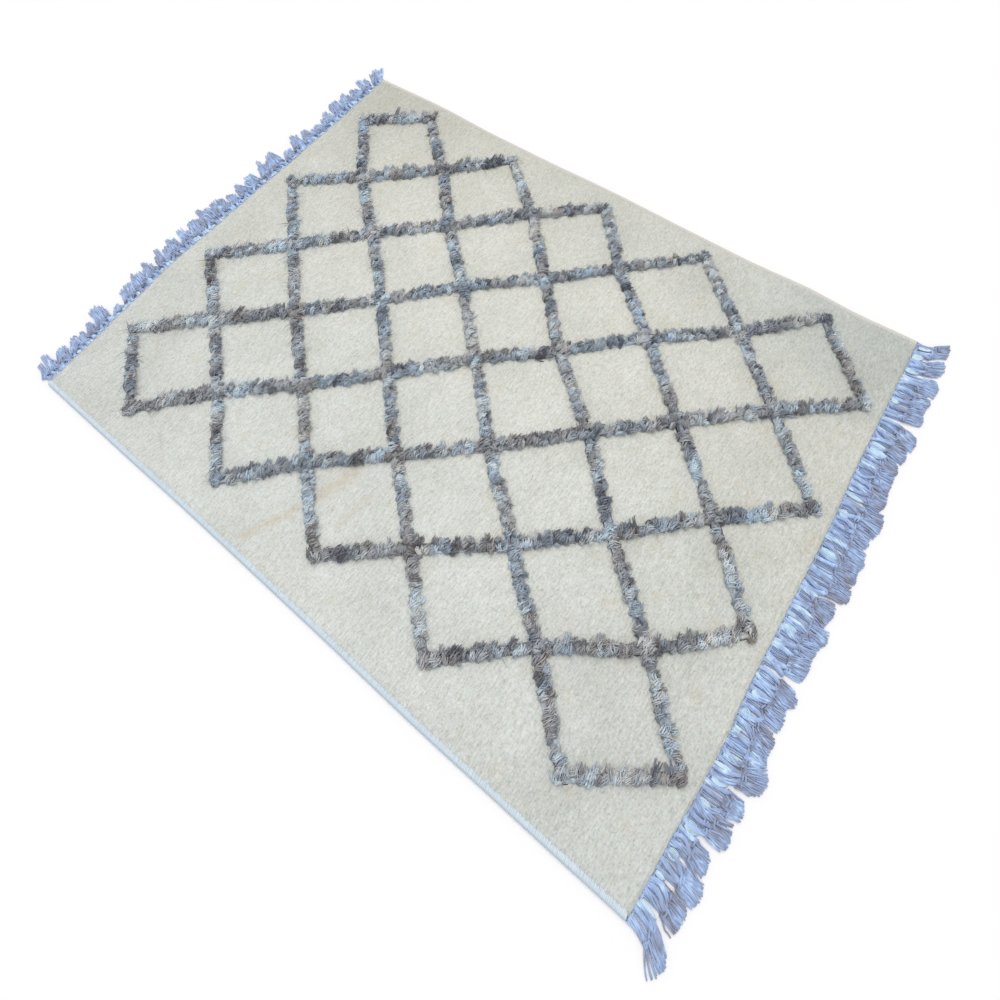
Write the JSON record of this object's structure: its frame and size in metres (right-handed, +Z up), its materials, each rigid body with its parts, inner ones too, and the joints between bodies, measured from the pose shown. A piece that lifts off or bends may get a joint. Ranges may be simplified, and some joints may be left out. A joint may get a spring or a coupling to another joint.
{
  "type": "kilim rug",
  "caption": "Hand-woven flat rug with a raised pile diamond lattice, overcast long edges and a knotted fringe at each end.",
  "frame": {"origin": "on the floor under the middle of the rug, on its flat underside", "axes": "+X along the rug towards its right fringed end, +Y across it towards its far selvedge, +Z up out of the pile"},
  "size_m": [2.1832, 1.557, 0.0225],
  "materials": {
    "ground_wool": "nubby flat weave",
    "pile_wool": "mixed grey knotted pile",
    "pale_overcasting": "overcast yarn",
    "cream_overcasting": "overcast yarn",
    "fringe_cotton": "twisted cotton warp"
  },
  "bodies": {
    "root": {"ground_weave": "ground_wool", "pile_lattice": "pile_wool", "selvedge_near": "pale_overcasting", "selvedge_far": "cream_overcasting", "fringe_right": "fringe_cotton", "fringe_left": "fringe_cotton"}
  },
  "joints": []
}
